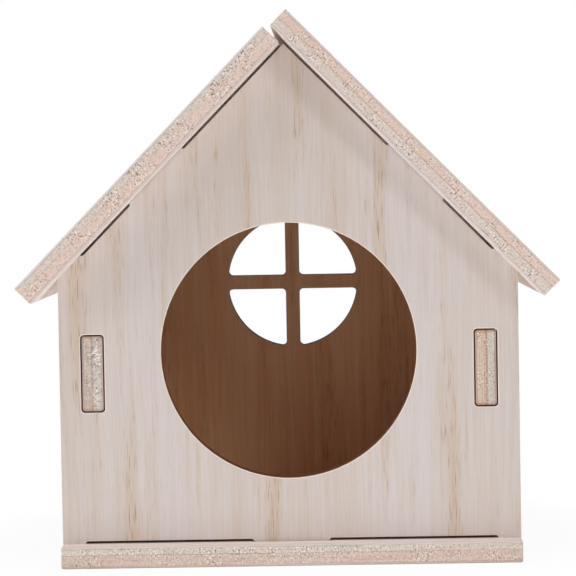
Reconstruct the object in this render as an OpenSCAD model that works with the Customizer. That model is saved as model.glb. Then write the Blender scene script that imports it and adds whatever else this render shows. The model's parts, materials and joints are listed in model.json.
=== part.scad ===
// Small-animal house of seven plywood boards that slot together without tools.
// The floor lies on the ground, the two gable panels and two walls stand on it,
// and a roof board drops over the gable tabs on each slope.
// Millimetres. Origin under the middle of the floor, +Z up, the door faces -Y.

/* [Boards] */
// Thickness of every plywood board
board_t = 12; // [9:0.5:15]

/* [House] */
// Width of the gable panels and of the floor
house_w = 250; // [220:1:300]
// Depth over the outer faces of the two gable panels
house_d = 212; // [170:1:280]
// Height of a gable's eave corners above the floor
eave_h = 145; // [130:1:180]
// Slope of the roof, in degrees
roof_pitch = 45.5; // [40:0.5:50]

/* [Floor] */
// How far the floor runs past each gable panel
floor_margin = 12; // [4:1:30]

/* [Walls] */
// From a gable's side edge in to the outer face of the wall
wall_inset = 12; // [6:0.5:16]
// Height of the wall tabs' middle above the floor
wall_tab_z = 93; // [80:1:100]
// Air between a wall's top edge and the roof
wall_top_clear = 0.5; // [0.2:0.1:2]

/* [Roof] */
// How far the roof runs past each gable panel
roof_overhang = 24; // [10:1:40]
// How far a roof board runs past the gable's eave corner, down the slope
eave_overhang = 17.5; // [8:0.5:30]
// How far the right roof board runs past the ridge to cover the left one
ridge_lap = 9.5; // [4:0.5:12]
// Gap at the ridge between the left board's end and the right board
ridge_gap = 3; // [1:0.5:6]
// From the gable's peak down the slope to the middle of its roof tab
roof_tab_s = 101; // [80:1:110]

/* [Tabs and slots] */
// Length of every tab along its edge
tab_l = 41.5; // [30:0.5:48]
// Clearance on each side of a tab in its slot
tab_clear = 0.45; // [0.2:0.05:0.8]
// How far a tab's end lies below the face that it comes out of
tab_short = 0.3; // [0:0.1:1]
// Radius that the cutter leaves in inner corners
cutter_r = 2; // [1:0.1:3]
// Depth of the relief beside a tab, which keeps its root corners off the slot
relief = 1.4; // [1:0.1:3]
// Width of the corner lands that carry the load, square to the board's side
land_w = 12.5; // [8:0.5:16]

/* [Door] */
// Diameter of the round door
door_d = 139; // [100:1:160]
// Height of the door's centre above the floor
door_z = 104; // [95:1:125]

/* [Window] */
// Diameter of the round window
window_d = 80.5; // [60:0.5:100]
// Height of the window's centre above the floor
window_z = 133.5; // [110:0.5:150]
// Width of the window's cross bars
bar_w = 8.5; // [5:0.5:14]
// Radius of the corners of the panes
pane_r = 2.5; // [1:0.1:4]

/* [Hidden] */

$fn = 64;
// Cuts run this far past a face, so that they open cleanly
over = 1;
// Straight steps in a pane's corner and along its part of the rim
corner_steps = 6;
rim_steps = 20;
// Most of a relief's depth that its root radius may take
root_share = 0.9;

face_colour = "#d3c6bd";
back_colour = "#9c7a5f";
edge_colour = "#dcc8b8";

// Slots are larger than tabs by the clearance, and their corners keep that gap too
slot_l = tab_l + 2 * tab_clear;
slot_w = board_t + 2 * tab_clear;
tab_r = cutter_r - tab_clear;
root_r = min(cutter_r, root_share * relief);
tab_h = board_t - tab_short;

// Gable outline, measured from the top of the floor
peak_h = eave_h + house_w / 2 * tan(roof_pitch);
slope_l = house_w / 2 / cos(roof_pitch);
panel_y = (house_d - board_t) / 2;

wall_l = house_d - 2 * board_t;
wall_x = house_w / 2 - wall_inset - board_t / 2;
wall_h = eave_h + wall_inset * tan(roof_pitch) - wall_top_clear;

floor_l = house_d + 2 * floor_margin;
roof_l = house_d + 2 * roof_overhang;
roof_reach = slope_l + eave_overhang;
// Both corners of the left board's end stay the gap below the right board
left_start = (ridge_gap + max(0, board_t * cos(2 * roof_pitch))) / sin(2 * roof_pitch);
right_start = -ridge_lap;

// Flat shapes

module rounded_rect(w, h, r) {
    square([w - 2 * r, h], center = true);
    square([w, h - 2 * r], center = true);
    for (x = [-1, 1], y = [-1, 1])
        translate([x * (w / 2 - r), y * (h / 2 - r)])
            circle(r);
}

// Relief along an edge that lies on the X axis, with the board below it
module relief_cut(from, to) {
    translate([(from + to) / 2, 0])
        rounded_rect(to - from, 2 * relief, root_r);
}

// Reliefs on both sides of a tab, each out to a distance from the tab's middle
module tab_reliefs(before, after) {
    relief_cut(-before, -tab_l / 2);
    relief_cut(tab_l / 2, after);
}

// Points along an arc, both ends included
function arc_points(centre, r, from, to, steps) = [
    for (i = [0:steps])
        let (angle = from + (to - from) * i / steps)
            centre + r * [cos(angle), sin(angle)]
];

// One pane in the first quadrant: two bars and the round rim, with rounded corners between them
module pane() {
    rim_r = window_d / 2;
    near = bar_w / 2 + pane_r;
    far = sqrt(pow(rim_r - pane_r, 2) - pow(near, 2));
    lean = atan2(near, far);
    rim_step = (90 - 2 * lean) / rim_steps;
    polygon(concat(
        arc_points([near, near], pane_r, 180, 270, corner_steps),
        arc_points([far, near], pane_r, -90, lean, corner_steps),
        arc_points([0, 0], rim_r, lean + rim_step, 90 - lean - rim_step, rim_steps - 2),
        arc_points([near, far], pane_r, 90 - lean, 180, corner_steps)
    ));
}

module window() {
    for (turn = [0:90:270])
        rotate(turn)
            pane();
}

module both_slopes() {
    for (side = [0, 1])
        mirror([side, 0, 0])
            translate([0, peak_h, 0])
                rotate(-roof_pitch)
                    translate([roof_tab_s, 0, 0])
                        children();
}

// Boards that lie flat, thickness along +Z

// A tab that stands out of the edge on the X axis, towards +Y
module tab() {
    translate([0, -relief, board_t / 2])
        rotate([-90, 0, 0])
            linear_extrude(tab_h + relief)
                rounded_rect(tab_l, board_t, tab_r);
}

// A slot right through a board, its long side along X
module slot_cut() {
    translate([0, 0, -over])
        linear_extrude(board_t + 2 * over)
            rounded_rect(slot_l, slot_w, cutter_r);
}

// A gable panel with its tabs and wall slots; the children are cut out of it
module gable() {
    half = house_w / 2;
    difference() {
        linear_extrude(board_t)
            difference() {
                polygon([[-half, 0], [half, 0], [half, eave_h], [0, peak_h], [-half, eave_h]]);
                both_slopes()
                    tab_reliefs(
                        roof_tab_s + 2 * relief,
                        slope_l - land_w / cos(roof_pitch) - roof_tab_s
                    );
                rotate(180)
                    tab_reliefs(half - land_w, half - land_w);
                children();
            }
        for (side = [-1, 1])
            translate([side * wall_x, wall_tab_z, 0])
                rotate(90)
                    slot_cut();
    }
    both_slopes()
        tab();
    rotate(180)
        tab();
}

// A wall from panel to panel, its tabs on the middle line of its ends
module wall() {
    linear_extrude(board_t)
        difference() {
            translate([-wall_l / 2, 0])
                square([wall_l, wall_h]);
            for (end = [0, 1])
                mirror([end, 0])
                    translate([wall_l / 2, wall_tab_z])
                        rotate(-90)
                            tab_reliefs(wall_h - land_w - wall_tab_z, wall_tab_z - land_w);
        }
    for (end = [0, 1])
        mirror([end, 0, 0])
            translate([wall_l / 2, wall_tab_z, 0])
                rotate(-90)
                    tab();
}

// Boards in their places

module stand_panel(side) {
    translate([0, side * panel_y + board_t / 2, board_t])
        rotate([90, 0, 0])
            children();
}

module stand_wall(side) {
    translate([side * wall_x - board_t / 2, 0, board_t])
        rotate([90, 0, 90])
            children();
}

// A roof board on the right slope, from start down to the eave
module roof_board(start) {
    translate([0, 0, board_t + peak_h])
        rotate([0, roof_pitch, 0])
            difference() {
                translate([start, -roof_l / 2, 0])
                    cube([roof_reach - start, roof_l, board_t]);
                for (side = [-1, 1])
                    translate([roof_tab_s, side * panel_y, 0])
                        slot_cut();
            }
}

module base() {
    color(edge_colour)
        difference() {
            translate([-house_w / 2, -floor_l / 2, 0])
                cube([house_w, floor_l, board_t]);
            for (side = [-1, 1])
                translate([0, side * panel_y, 0])
                    slot_cut();
        }
}

module front_panel() {
    color(face_colour)
        stand_panel(-1)
            gable()
                translate([0, door_z])
                    circle(d = door_d, $fn = 128);
}

module back_panel() {
    color(back_colour)
        stand_panel(1)
            gable()
                translate([0, window_z])
                    window();
}

module left_wall() {
    color(face_colour)
        stand_wall(-1)
            wall();
}

module right_wall() {
    color(face_colour)
        stand_wall(1)
            wall();
}

module left_roof() {
    color(edge_colour)
        mirror([1, 0, 0])
            roof_board(left_start);
}

module right_roof() {
    color(edge_colour)
        roof_board(right_start);
}

base();
front_panel();
back_panel();
left_wall();
right_wall();
left_roof();
right_roof();
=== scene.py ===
"""Looks of a slot-together plywood house for a small pet: seven boards, their veneers, edges and cut-outs.

Every board starts as a copy of its solid, so that tabs and slots stay where they are. Its edges are eased as
sandpaper leaves them, and each of its faces gets its finish: pale face veneer outside, brown backing veneer
inside, its brown partly painted shade, lighter veneer on the floor board and under the roof as painted light,
open plies on the sawn edges, and browned wood in the cut-outs, darkened as painted shade in the reliefs,
openings and slots.
"""

import json
import math

import bpy
from mathutils import Euler, Matrix, Vector


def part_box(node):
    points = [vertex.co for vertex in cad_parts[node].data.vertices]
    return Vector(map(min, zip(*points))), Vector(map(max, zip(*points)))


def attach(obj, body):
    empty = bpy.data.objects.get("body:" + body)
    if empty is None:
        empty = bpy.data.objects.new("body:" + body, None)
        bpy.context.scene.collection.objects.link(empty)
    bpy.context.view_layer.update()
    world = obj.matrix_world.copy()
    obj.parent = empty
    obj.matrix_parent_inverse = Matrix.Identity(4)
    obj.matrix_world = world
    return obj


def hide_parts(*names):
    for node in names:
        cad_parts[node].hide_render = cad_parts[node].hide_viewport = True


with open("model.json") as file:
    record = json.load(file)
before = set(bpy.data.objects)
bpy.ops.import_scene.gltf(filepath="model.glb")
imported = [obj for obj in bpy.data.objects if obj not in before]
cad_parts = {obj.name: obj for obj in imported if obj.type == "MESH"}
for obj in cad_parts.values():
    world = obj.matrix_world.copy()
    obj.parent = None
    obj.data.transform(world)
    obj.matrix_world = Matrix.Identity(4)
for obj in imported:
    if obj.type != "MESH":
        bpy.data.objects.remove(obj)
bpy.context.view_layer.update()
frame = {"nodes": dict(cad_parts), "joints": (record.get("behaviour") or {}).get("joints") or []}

MM = 0.001

# Sizes read from the frame, in metres
base_low, base_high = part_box("base")
front_low, front_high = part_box("front_panel")
wall_low, wall_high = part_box("left_wall")
roof_axis = next(j for j in frame["joints"] if j["name"] == "right_roof_lift")["axis"]
board_t = base_high.z - base_low.z
house_w = front_high.x - front_low.x
pitch = math.atan2(roof_axis[0], roof_axis[2])

# A gable's door or window lies nearer to its middle line than this, its wall slots lie further out
slots_from = abs(wall_high.x) - board_t

# Sanding: from which angle on an edge counts as sharp, and what still counts as one flat or one smooth face.
# A smooth angle below the steps of the eased edges keeps the shading of the broad faces even
sharp_from = math.radians(40)
smooth_below = math.radians(20)
flat_within = math.radians(0.5)
merge_within = 0.002 * MM

# Telling faces apart: how exactly two directions agree or stand square to each other, as cosines, how far
# a face may be off its plane, and how deep the cuts beside the tabs may be
same_way = 0.99
square_on = 0.1
skin_depth = 0.1 * MM
deepest_relief = 4 * MM

# How each board lies: the turn from the house's axes to the board's own, X out of its face, Z along its grain
facing = {
    "base": Euler((0, math.radians(90), 0)),
    "front_panel": Euler((0, 0, math.radians(90))),
    "back_panel": Euler((0, 0, math.radians(-90))),
    "left_wall": Euler((0, 0, math.radians(180))),
    "right_wall": Euler((0, 0, 0)),
    "left_roof": Euler((0, math.radians(90) + pitch, 0)),
    "right_roof": Euler((0, math.radians(90) - pitch, 0)),
}

# The direction that each board's face looks in, and a point half way through its thickness
outward = {}
middle = {}
for node, turn in facing.items():
    outward[node] = turn.to_matrix().transposed() @ Vector((1, 0, 0))
    depths = [v.co.dot(outward[node]) for v in frame["nodes"][node].data.vertices]
    middle[node] = outward[node] * (min(depths) + max(depths)) / 2

# The wall tabs' ends, which show in the gables: their middle and half their length, measured up the wall
wall_points = [v.co for v in frame["nodes"]["left_wall"].data.vertices]
tab_heights = [point.z for point in wall_points if point.y < wall_low.y + skin_depth]
tab_middle = (min(tab_heights) + max(tab_heights)) / 2
tab_half = (max(tab_heights) - min(tab_heights)) / 2

# The boards that the walls' tabs go through, and those that the gables' tabs go through
gables = ("front_panel", "back_panel")
gable_hosts = ("base", "left_roof", "right_roof")


# Shapes

def select_only(piece):
    bpy.ops.object.select_all(action="DESELECT")
    piece.select_set(True)
    bpy.context.view_layer.objects.active = piece


def copy_of(node, name):
    """A new piece with a node's own shape, its loose triangles merged into whole flat faces."""
    piece = bpy.data.objects.new(name, frame["nodes"][node].data.copy())
    bpy.context.scene.collection.objects.link(piece)
    piece.data.materials.clear()
    select_only(piece)
    bpy.ops.object.mode_set(mode="EDIT")
    bpy.ops.mesh.select_all(action="SELECT")
    bpy.ops.mesh.remove_doubles(threshold=merge_within)
    bpy.ops.mesh.dissolve_limited(angle_limit=flat_within)
    bpy.ops.object.mode_set(mode="OBJECT")
    return piece


def gap_to(point, hosts):
    """How far a point is from the boards that its own board's tabs go through; below 0 inside one of them."""
    gaps = [abs((point - middle[host]).dot(outward[host])) - board_t / 2 for host in hosts]
    return min(gaps, default=house_w)


def ease_edges(piece, eased, hosts):
    """Rounds the sharp edges a little, the way a sanded board feels; eased is in mm.

    The edges that meet another board stay sharp: no sandpaper reaches beside a tab.
    """
    select_only(piece)
    bpy.ops.object.mode_set(mode="EDIT")
    bpy.ops.mesh.select_mode(type="EDGE")
    bpy.ops.mesh.select_all(action="DESELECT")
    bpy.ops.mesh.edges_select_sharp(sharpness=sharp_from)
    bpy.ops.object.mode_set(mode="OBJECT")
    joined = [-skin_depth < gap_to(v.co, hosts) < deepest_relief for v in piece.data.vertices]
    for edge in piece.data.edges:
        if all(joined[v] for v in edge.vertices):
            edge.select = False
    # A face that stayed selected would select its edges again
    for polygon in piece.data.polygons:
        polygon.select = False
    bpy.ops.object.mode_set(mode="EDIT")
    bpy.ops.mesh.bevel(offset=eased * MM, segments=2, profile=0.5, clamp_overlap=False, loop_slide=False)
    bpy.ops.object.mode_set(mode="OBJECT")
    bpy.ops.object.shade_smooth_by_angle(angle=smooth_below)


def in_a_cut_out(piece, polygon):
    """True on the wall of a cut-out, which looks across it at another wall of the same board."""
    start = polygon.center + polygon.normal * skin_depth / 10
    return piece.ray_cast(start, polygon.normal, distance=house_w)[0]


def in_a_slot(polygon, hosts):
    """True on the side of a tab, inside the thickness of the board that the tab goes through."""
    return any(gap_to(polygon.center, [host]) < -skin_depth
               and abs(polygon.normal.dot(outward[host])) < same_way for host in hosts)


def in_a_relief(polygon, hosts):
    """True on the shallow cut beside a tab, which faces the tab's host board without touching it."""
    return any(skin_depth < gap_to(polygon.center, [host]) < deepest_relief
               and abs(polygon.normal.dot(outward[host])) > same_way for host in hosts)


# Materials

def linear(hex_colour):
    """The linear colour that a socket takes, from an sRGB hex value."""
    parts = [int(hex_colour[i:i + 2], 16) / 255 for i in (1, 3, 5)]
    return [c / 12.92 if c <= 0.04045 else ((c + 0.055) / 1.055) ** 2.4 for c in parts] + [1]


def add(tree, kind, settings, inputs):
    """Adds a node, sets it up, and gives each input its value or its link.

    The setting "stops" fills a colour ramp: each stop is a place, a hex colour and an alpha.
    """
    node = tree.nodes.new(kind)
    for key, value in settings.items():
        if key == "stops":
            elements = node.color_ramp.elements
            elements.remove(elements[1])
            for number, (place, colour, alpha) in enumerate(value):
                stop = elements.new(place) if number else elements[0]
                stop.position = place
                stop.color = linear(colour)
                stop.alpha = alpha
        else:
            setattr(node, key, value)
    for key, value in inputs.items():
        if isinstance(value, bpy.types.NodeSocket):
            tree.links.new(value, node.inputs[key])
        else:
            node.inputs[key].default_value = value
    return node


def cells(deep, across, along):
    """Noise cells per metre for a pattern of that size in mm: through the board, across and along its grain."""
    return (1 / (deep * MM), 1 / (across * MM), 1 / (along * MM))


def start_material(name, node, sheet):
    """A new material, its tree and shader, and coordinates in the board's own axes.

    X is out of the face from the middle of the board and Z along the grain. The sheet is the place, in mm, that
    the board was cut from in its sheet of veneer, so that no two boards have the same figure.
    """
    material = bpy.data.materials.new(node + "_" + name)
    material.use_nodes = True
    tree = material.node_tree
    house = add(tree, "ShaderNodeTexCoord", {}, {}).outputs["Object"]
    shift = Vector((0, sheet[0], sheet[1])) * MM - facing[node].to_matrix() @ middle[node]
    board = add(tree, "ShaderNodeMapping", {}, {"Vector": house, "Rotation": facing[node], "Location": shift})
    return material, tree, tree.nodes["Principled BSDF"], board.outputs["Vector"]


def veneer(name, node, sheet, tones, figure):
    """Rotary-cut veneer, sanded bare: faint bands, and bundles of darker wood full of short fine strokes.

    The figure is the tone of the bundles and that of the strokes.
    """
    material, tree, shader, board = start_material(name, node, sheet)
    bundle_tone, stroke_tone = figure
    # The grain wanders by up to 5 mm, so that no line is ruler straight
    sway = add(tree, "ShaderNodeVectorMath", {"operation": "MULTIPLY"}, {0: board, 1: cells(45, 45, 130)})
    sway = add(tree, "ShaderNodeTexNoise", {}, {"Vector": sway.outputs[0], "Scale": 1, "Detail": 1})
    sway = add(tree, "ShaderNodeVectorMath", {"operation": "MULTIPLY_ADD"},
               {0: sway.outputs["Color"], 1: (0, 5 * MM, 0), 2: board}).outputs[0]
    # Bands from a hand's width down to fibres, which are too fine to show as they are and are drawn coarser
    tone = 0
    for share, across, along in ((0.26, 60, 700), (0.2, 14, 260), (0.24, 4, 110), (0.3, 0.9, 40)):
        place = add(tree, "ShaderNodeVectorMath", {"operation": "MULTIPLY"},
                    {0: sway, 1: cells(across, across, along)})
        noise = add(tree, "ShaderNodeTexNoise", {}, {"Vector": place.outputs[0], "Scale": 1, "Detail": 2})
        tone = add(tree, "ShaderNodeMath", {"operation": "MULTIPLY_ADD"},
                   {0: noise.outputs[0], 1: share, 2: tone}).outputs[0]
    ramp = add(tree, "ShaderNodeValToRGB", {"stops": tones}, {"Fac": tone})
    # Bundles of darker wood
    bundles = add(tree, "ShaderNodeVectorMath", {"operation": "MULTIPLY"}, {0: sway, 1: cells(11, 11, 190)})
    bundles = add(tree, "ShaderNodeTexNoise", {}, {"Vector": bundles.outputs[0], "Scale": 1, "Detail": 2})
    bundles = add(tree, "ShaderNodeMapRange", {"interpolation_type": "SMOOTHSTEP"},
                  {"Value": bundles.outputs[0], "From Min": 0.48, "From Max": 0.7})
    darker = add(tree, "ShaderNodeMath", {"operation": "MULTIPLY"}, {0: bundles.outputs[0], 1: 0.28})
    colour = add(tree, "ShaderNodeMix", {"data_type": "RGBA"},
                 {0: darker.outputs[0], 6: ramp.outputs[0], 7: linear(bundle_tone)})
    # Short strokes, the cut vessels, strong in the bundles and nearly lost between them. They too are drawn
    # coarser than they are, so as to show
    strength = add(tree, "ShaderNodeMapRange", {},
                   {"Value": bundles.outputs[0], "To Min": 0.08, "To Max": 0.72})
    strokes = add(tree, "ShaderNodeVectorMath", {"operation": "MULTIPLY"}, {0: sway, 1: cells(0.6, 0.6, 14)})
    strokes = add(tree, "ShaderNodeTexNoise", {}, {"Vector": strokes.outputs[0], "Scale": 1, "Detail": 1})
    strokes = add(tree, "ShaderNodeMapRange", {"interpolation_type": "SMOOTHSTEP"},
                  {"Value": strokes.outputs[0], "From Min": 0.55, "From Max": 0.69,
                   "To Max": strength.outputs[0]})
    colour = add(tree, "ShaderNodeMix", {"data_type": "RGBA"},
                 {0: strokes.outputs[0], 6: colour.outputs[2], 7: linear(stroke_tone)})
    bump = add(tree, "ShaderNodeBump", {}, {"Height": tone, "Strength": 0.2, "Distance": 0.15 * MM})
    tree.links.new(colour.outputs[2], shader.inputs["Base Color"])
    tree.links.new(bump.outputs[0], shader.inputs["Normal"])
    # Sanded wood without a finish has only a faint sheen
    shader.inputs["Roughness"].default_value = 0.62
    shader.inputs["IOR"].default_value = 1.45
    return material


def ply_edge(name, node, sheet, plies, marks, browned_and_shaded):
    """Sawn plywood edge: two thick core plies between thin veneers, with streaks, open pores and torn chips.

    The plies are as two_cores makes them, the marks are the tones of pores, torn chips and resin, and the last
    argument is the share of brown painted shade at both ends of a wall's tabs, where they meet the ends of
    their slots.
    """
    material, tree, shader, board = start_material(name, node, sheet)
    layers, seam, streak_share = plies
    pore_tone, chip_tone, resin_tone = marks
    # The plies from the inside out, their seams wavering by less than the thickness of a veneer
    waver = 1.6 * MM
    bends = add(tree, "ShaderNodeTexNoise", {},
                {"Vector": board, "Scale": 1 / (9 * MM), "Detail": 3, "Roughness": 0.6})
    axes = add(tree, "ShaderNodeSeparateXYZ", {}, {0: board})
    depth = add(tree, "ShaderNodeMath", {"operation": "MULTIPLY_ADD"},
                {0: bends.outputs[0], 1: waver, 2: axes.outputs["X"]})
    depth = add(tree, "ShaderNodeMapRange", {}, {"Value": depth.outputs[0], "From Min": (waver - board_t) / 2,
                                                 "From Max": (waver + board_t) / 2})
    ramp = add(tree, "ShaderNodeValToRGB", {"stops": layers}, {"Fac": depth.outputs[0]})
    # Lighter and darker streaks, as thin as a growth ring
    streaks = add(tree, "ShaderNodeVectorMath", {"operation": "MULTIPLY"}, {0: board, 1: cells(0.8, 45, 45)})
    streaks = add(tree, "ShaderNodeTexNoise", {}, {"Vector": streaks.outputs[0], "Scale": 1, "Detail": 2})
    colour = add(tree, "ShaderNodeMix", {"data_type": "RGBA", "blend_type": "OVERLAY"},
                 {0: streak_share, 6: ramp.outputs[0], 7: streaks.outputs[0]}).outputs[2]
    # Resin that has squeezed out of the middle seam in places
    resin = add(tree, "ShaderNodeMath", {"operation": "SUBTRACT"}, {0: depth.outputs[0], 1: seam})
    resin = add(tree, "ShaderNodeMath", {"operation": "ABSOLUTE"}, {0: resin.outputs[0]})
    resin = add(tree, "ShaderNodeMapRange", {"interpolation_type": "SMOOTHSTEP"},
                {"Value": resin.outputs[0], "From Min": 0.035, "From Max": 0.008, "To Max": 0.8})
    runs = add(tree, "ShaderNodeTexNoise", {}, {"Vector": board, "Scale": 1 / (38 * MM), "Detail": 1})
    runs = add(tree, "ShaderNodeMapRange", {"interpolation_type": "SMOOTHSTEP"},
               {"Value": runs.outputs[0], "From Min": 0.55, "From Max": 0.68})
    resin = add(tree, "ShaderNodeMath", {"operation": "MULTIPLY"}, {0: resin.outputs[0], 1: runs.outputs[0]})
    colour = add(tree, "ShaderNodeMix", {"data_type": "RGBA"},
                 {0: resin.outputs[0], 6: colour, 7: linear(resin_tone)}).outputs[2]
    # Pores and torn chips, thick in some places and thin in others, drawn coarser than they are so as to show
    grains = add(tree, "ShaderNodeVectorMath", {"operation": "MULTIPLY"},
                 {0: board, 1: cells(1.2, 0.85, 0.85)})
    grains = add(tree, "ShaderNodeTexNoise", {}, {"Vector": grains.outputs[0], "Scale": 1, "Detail": 2})
    patch = add(tree, "ShaderNodeTexNoise", {}, {"Vector": board, "Scale": 1 / (13 * MM), "Detail": 1})
    patch = add(tree, "ShaderNodeMapRange", {"interpolation_type": "SMOOTHSTEP"},
                {"Value": patch.outputs[0], "From Min": 0.38, "From Max": 0.6, "To Min": 0.4})
    openness = add(tree, "ShaderNodeMath", {"operation": "MULTIPLY"},
                   {0: ramp.outputs[1], 1: patch.outputs[0]})
    for tone, full, none in ((pore_tone, 0.3, 0.445), (chip_tone, 0.67, 0.53)):
        spots = add(tree, "ShaderNodeMapRange", {"interpolation_type": "SMOOTHSTEP"},
                    {"Value": grains.outputs[0], "From Min": none, "From Max": full})
        spots = add(tree, "ShaderNodeMath", {"operation": "MULTIPLY"},
                    {0: spots.outputs[0], 1: openness.outputs[0]})
        colour = add(tree, "ShaderNodeMix", {"data_type": "RGBA"},
                     {0: spots.outputs[0], 6: colour, 7: linear(tone)}).outputs[2]
    # A wall stands upright, so its own Z is the height in the house plus the wall's place in the sheet
    # Painted shade: brown towards both ends of a wall's tabs, where they meet the ends of their slots
    if browned_and_shaded:
        tab_end_shade = add(tree, "ShaderNodeMath", {"operation": "SUBTRACT"},
                    {0: axes.outputs["Z"], 1: tab_middle + sheet[1] * MM})
        tab_end_shade = add(tree, "ShaderNodeMath", {"operation": "ABSOLUTE"}, {0: tab_end_shade.outputs[0]})
        tab_end_shade = add(tree, "ShaderNodeMapRange", {"interpolation_type": "SMOOTHSTEP"},
                    {"Value": tab_end_shade.outputs[0], "From Min": tab_half - tab_end_shade_reach, "From Max": tab_half,
                     "To Max": browned_and_shaded})
        colour = add(tree, "ShaderNodeMix", {"data_type": "RGBA"},
                     {0: tab_end_shade.outputs[0], 6: colour, 7: linear(tab_end_painted_shade_tone)}).outputs[2]
    bump = add(tree, "ShaderNodeBump", {}, {"Height": grains.outputs[0], "Strength": openness.outputs[0],
                                            "Distance": 0.4 * MM})
    tree.links.new(colour, shader.inputs["Base Color"])
    tree.links.new(bump.outputs[0], shader.inputs["Normal"])
    # Cut fibre ends are quite matt
    shader.inputs["Roughness"].default_value = 0.8
    shader.inputs["Specular IOR Level"].default_value = 0.15
    return material


def two_cores(cores, openness, skins, glues, seam, streaks):
    """Layers of one board from its inner face outwards, the place of their seam and the strength of streaks.

    Cores, openness and skins give the inner value first. Openness goes from 0 for close wood to 1 for coarse
    wood. The glues are the one under the skins and the one in the seam. Places are shares of the thickness.
    """
    skin, glue_line, core, seam_half = 0.085, 0.1, 0.125, 0.04
    skin_openness, glue_openness, seam_openness = 0.1, 0.3, 0.4
    glue, seam_glue = glues
    layers = (
        (0, skins[0], skin_openness),
        (skin, skins[0], skin_openness),
        (glue_line, glue, glue_openness),
        (core, cores[0], openness[0]),
        (seam - seam_half, cores[0], openness[0]),
        (seam, seam_glue, seam_openness),
        (seam + seam_half, cores[1], openness[1]),
        (1 - core, cores[1], openness[1]),
        (1 - glue_line, glue, glue_openness),
        (1 - skin, skins[1], skin_openness),
        (1, skins[1], skin_openness),
    )
    return layers, seam, streaks


# Veneers: the tones of a sheet, then those of its bundles and strokes
# Basswood: pale and lilac grey, with beige bands
basswood = (((0.36, "#d0c1b6", 1), (0.44, "#d3c6be", 1), (0.5, "#d5cac5", 1), (0.58, "#d8cfcd", 1)),
            ("#c29c62", "#98714d"))
# A lighter, pinker sheet of the same veneer on the floor, and a nearly white one under the roof: their
# lightness is partly painted light on faces that the lamps reach less
pink_basswood_painted_light = (((0.36, "#f1dbd1", 1), (0.44, "#f5e0d8", 1), (0.5, "#f9e7e1", 1), (0.6, "#fbede9", 1)),
                 ("#e6cdb6", "#cba98c"))
white_basswood_painted_light = (((0.36, "#f3e8e2", 1), (0.44, "#f7ede8", 1), (0.5, "#faf2ee", 1), (0.6, "#fcf6f3", 1)),
                  ("#e6d3bf", "#cbb096"))
# Meranti backing veneer: reddish brown, its depth of brown partly painted shade of the inside of the house
meranti_with_painted_shade = (((0.34, "#ce966e", 1), (0.46, "#dda980", 1), (0.54, "#dfb58b", 1), (0.66, "#e7bc96", 1)),
           ("#b87c50", "#97603f"))
# Poplar core plies: one whitish and coarse, one pink and closer, their glues, and the marks on both, which are
# pores, torn chips and resin
white_core = "#dfd0c7"
pink_core = "#e4ccc1"
warm_glues = ("#c2a296", "#c6a89c")
pale_glues = ("#bd9d92", "#d2b7aa")
core_marks = ("#6f5a48", "#fdf1e9", "#c9986a")
# The same edges where the cutter has browned them, darkened further as painted shade in the reliefs and
# openings, and darker still as painted shade deep in the slots
browned_and_shaded_wood = two_cores(("#744832", "#70452f"), (0.4, 0.4), ("#663d29", "#663d29"),
                         ("#5c3624", "#5c3624"), 0.5, 0.2)
browned_and_shaded_marks = ("#4a2c1c", "#8a5c42", "#623c26")
painted_slot_shade_wood = two_cores(("#5c3019", "#582c16"), (0.4, 0.4), ("#502814", "#502814"),
                         ("#442110", "#442110"), 0.5, 0.2)
painted_slot_shade_marks = ("#2c180d", "#6c4028", "#4a2814")
# The brown painted shade at both ends of a wall's tabs, where they meet the ends of their slots, and how far it
# reaches in from there
tab_end_painted_shade_tone = "#8c5f3c"
tab_end_shade_reach = 2.6 * MM

# Both gables come from one sheet of plywood
gable_plies = two_cores((pink_core, white_core), (0.7, 1), ("#c7b3aa", "#f6e8dc"), warm_glues, 0.5, 0.22)
# For each board: its place in the sheet, its face and inside veneers, its easing in mm, its share of brown
# painted shade at both ends of its tabs and its plies
boards = {
    "base": ((0, 0), pink_basswood_painted_light, pink_basswood_painted_light, 0.9, 0,
             two_cores(("#d4bfb4", "#d6ccc1"), (0.75, 0.85), ("#dcc5ba", "#ddd1cf"),
                       warm_glues, 0.6, 0.3)),
    "front_panel": ((3497, 3018), basswood, meranti_with_painted_shade, 0.55, 0, gable_plies),
    "back_panel": ((720, 40), basswood, meranti_with_painted_shade, 0.55, 0, gable_plies),
    "left_wall": ((1100, 210), basswood, meranti_with_painted_shade, 0.35, 0.55,
                  two_cores(("#cec5bd", "#cbbbb0"), (1, 0.5), ("#bdafad", "#bba6a3"),
                            ("#b0958c", "#b0958c"), 0.53, 0.45)),
    "right_wall": ((1430, 80), basswood, meranti_with_painted_shade, 0.35, 0.7,
                   two_cores(("#d2b9a8", "#cec4b8"), (0.7, 1), ("#c2aca3", "#bdaaa3"),
                             ("#b09385", "#b8947c"), 0.54, 0.45)),
    "left_roof": ((1800, 330), basswood, white_basswood_painted_light, 0.4, 0,
                  two_cores((pink_core, white_core), (0.9, 1), ("#dccac4", "#dfd8d7"),
                            pale_glues, 0.6, 0.22)),
    "right_roof": ((2250, 150), basswood, white_basswood_painted_light, 0.4, 0,
                   two_cores((white_core, pink_core), (1, 0.9), ("#dfd4d1", "#dccbc5"),
                             warm_glues, 0.53, 0.22)),
}


# Boards

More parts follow.
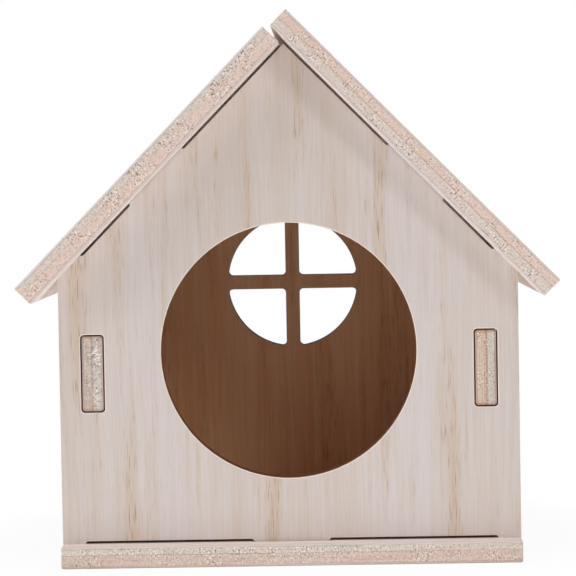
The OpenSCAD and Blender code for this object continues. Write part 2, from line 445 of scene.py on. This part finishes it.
def finish_board(node, name, body, hosts):
    """Makes one board of the house and gives each of its faces its finish."""
    sheet, face, inside, eased, browned_and_shaded, plies = boards[node]
    piece = copy_of(node, name)
    ease_edges(piece, eased, hosts)
    finishes = {
        # The floor board's veneers and the veneer under the roof carry painted light
        "face": veneer("basswood_face_veneer", node, sheet, *face),
        # On the gables and walls the inside veneer carries painted shade
        "inside": veneer("backing_veneer", node, sheet, *inside),
        "sawn": ply_edge("sawn_plywood_edge", node, sheet, plies, core_marks, browned_and_shaded),
        # Browned edges darkened as painted shade, and darker still as painted shade in the slots
        "browned_and_shaded": ply_edge("browned_and_shaded_plywood_edge", node, sheet, browned_and_shaded_wood, browned_and_shaded_marks, 0),
        "painted_slot_shade": ply_edge("painted_slot_shade_plywood_edge", node, sheet, painted_slot_shade_wood, painted_slot_shade_marks, 0),
    }
    order = list(finishes)
    for finish in order:
        piece.data.materials.append(finishes[finish])
    for polygon in piece.data.polygons:
        towards = polygon.normal.dot(outward[node])
        depth = (polygon.center - middle[node]).dot(outward[node])
        if towards > same_way and depth > board_t / 2 - skin_depth:
            finish = "face"
        elif towards < -same_way and depth < skin_depth - board_t / 2:
            finish = "inside"
        # Reliefs and the gables' openings get browned edges darkened as painted shade, slots and other cut-outs
        # the darker painted shade
        elif in_a_relief(polygon, hosts):
            finish = "browned_and_shaded"
        elif in_a_slot(polygon, hosts):
            finish = "painted_slot_shade"
        elif abs(towards) < square_on and in_a_cut_out(piece, polygon):
            is_opening = node in gables and abs(polygon.center.x) < slots_from
            finish = "browned_and_shaded" if is_opening else "painted_slot_shade"
        else:
            finish = "sawn"
        polygon.material_index = order.index(finish)
    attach(piece, body)
    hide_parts(node)


finish_board("base", "floor_board", "floor", ())
finish_board("front_panel", "front_gable", "house", gable_hosts)
finish_board("back_panel", "back_gable", "house", gable_hosts)
finish_board("left_wall", "left_side_board", "house", gables)
finish_board("right_wall", "right_side_board", "house", gables)
finish_board("left_roof", "left_roof_board", "roof_left", ())
finish_board("right_roof", "right_roof_board", "roof_right", ())


# Floor, light and camera

def white_to_the_camera(tree, output, lit, share):
    """Shows plain white to camera, glossy and transmitted rays, by a share; the rest is the surface as lit."""
    rays = add(tree, "ShaderNodeLightPath", {}, {})
    seen = add(tree, "ShaderNodeMath", {"operation": "MAXIMUM"},
               {0: rays.outputs["Is Camera Ray"], 1: rays.outputs["Is Glossy Ray"]})
    seen = add(tree, "ShaderNodeMath", {"operation": "MAXIMUM"},
               {0: seen.outputs[0], 1: rays.outputs["Is Transmission Ray"]})
    seen = add(tree, "ShaderNodeMath", {"operation": "MULTIPLY"}, {0: seen.outputs[0], 1: share})
    white = add(tree, "ShaderNodeEmission", {}, {"Color": linear("#ffffff"), "Strength": 1})
    mix = add(tree, "ShaderNodeMixShader", {}, {0: seen.outputs[0], 1: lit, 2: white.outputs[0]})
    tree.links.new(mix.outputs[0], output.inputs["Surface"])


# Background paper: matt, with a share of plain white that leaves the shadow around the house and is whole
# further off. Its side and the two distances are in metres
paper_side = 12
shadow_near, shadow_far = 0.15, 0.23
white_near = 0.94

bpy.ops.object.select_all(action="DESELECT")
bpy.ops.mesh.primitive_plane_add(size=paper_side)
floor = bpy.context.active_object
floor.name = "studio_floor"
paper = bpy.data.materials.new("white_background_paper")
paper.use_nodes = True
paper_shader = paper.node_tree.nodes["Principled BSDF"]
paper_shader.inputs["Base Color"].default_value = linear("#f4f2f0")
paper_shader.inputs["Roughness"].default_value = 0.9
away = add(paper.node_tree, "ShaderNodeTexCoord", {}, {})
away = add(paper.node_tree, "ShaderNodeVectorMath", {"operation": "LENGTH"}, {0: away.outputs["Object"]})
away = add(paper.node_tree, "ShaderNodeMapRange", {"interpolation_type": "SMOOTHSTEP"},
           {"Value": away.outputs["Value"], "From Min": shadow_near, "From Max": shadow_far,
            "To Min": white_near})
white_to_the_camera(paper.node_tree, paper.node_tree.nodes["Material Output"], paper_shader.outputs[0],
                    away.outputs[0])
floor.data.materials.append(paper)

world = bpy.data.worlds.new("light_tent")
world.use_nodes = True
bpy.context.scene.world = world
tent = world.node_tree.nodes["Background"]
tent.inputs["Color"].default_value = linear("#ffffff")
tent.inputs["Strength"].default_value = 0.1
white_to_the_camera(world.node_tree, world.node_tree.nodes["World Output"], tent.outputs[0], 1)

# Lamps: place and aim in metres, side in metres, power in watts. The light table lies just above the paper and
# shines up under the eaves
lamps = {
    "light_table": ((0, 0, 0.0002), (0, 0, 1), 2.4, 7.6),
    "overhead_softbox": ((0, -0.5, 2.3), (0, 0, 0.14), 1.6, 20.2),
    "left_softbox": ((-1.309, -1.016, 0.721), (0, -0.1, 0.14), 0.6, 1.9),
    "left_fill": ((-1.67, -0.395, 0.259), (0, -0.1, 0.14), 0.9, 12.5),
    "right_softbox": ((0.777, -1.445, 0.831), (0, -0.1, 0.14), 0.45, 5.4),
    "right_fill": ((1.636, -0.538, 0.288), (0, -0.1, 0.14), 0.6, 3.1),
    "front_softbox": ((0, -1.798, 0.229), (0, -0.1, 0.14), 0.8, 1.7),
}
for name, (place, aim, side, power) in lamps.items():
    light = bpy.data.lights.new(name, "AREA")
    light.size = side
    light.energy = power
    lamp = bpy.data.objects.new(name, light)
    lamp.location = place
    lamp.rotation_euler = (Vector(place) - Vector(aim)).to_track_quat("Z", "Y").to_euler()
    lamp.visible_camera = False
    bpy.context.scene.collection.objects.link(lamp)

# The photograph's frame is square, 576 pixels wide. Its focal length in pixels, its place beside, in front of
# and above the foot of the front gable, and its turns in degrees were fitted to the edges in it
picture = 576
focal_px = 2488.4
eye_right, eye_away, eye_up = 21.5 * MM, 1350 * MM, 206.7 * MM
yaw, tilt, roll = (math.radians(a) for a in (-0.901, -2.404, -1.010))
camera = bpy.data.cameras.new("camera")
camera.sensor_width = 36
camera.lens = focal_px / picture * camera.sensor_width
camera.clip_start = 0.05
camera.clip_end = 50
eye = bpy.data.objects.new("camera", camera)
eye_place = Vector((eye_right, front_low.y - eye_away, eye_up))
eye.matrix_world = (
    Matrix.Translation(eye_place)
    @ Matrix.Rotation(-yaw, 4, "Z")
    @ Matrix.Rotation(math.radians(90) + tilt, 4, "X")
    @ Matrix.Rotation(roll, 4, "Z")
)
bpy.context.scene.collection.objects.link(eye)
bpy.context.scene.camera = eye
bpy.context.scene.view_settings.view_transform = "Standard"
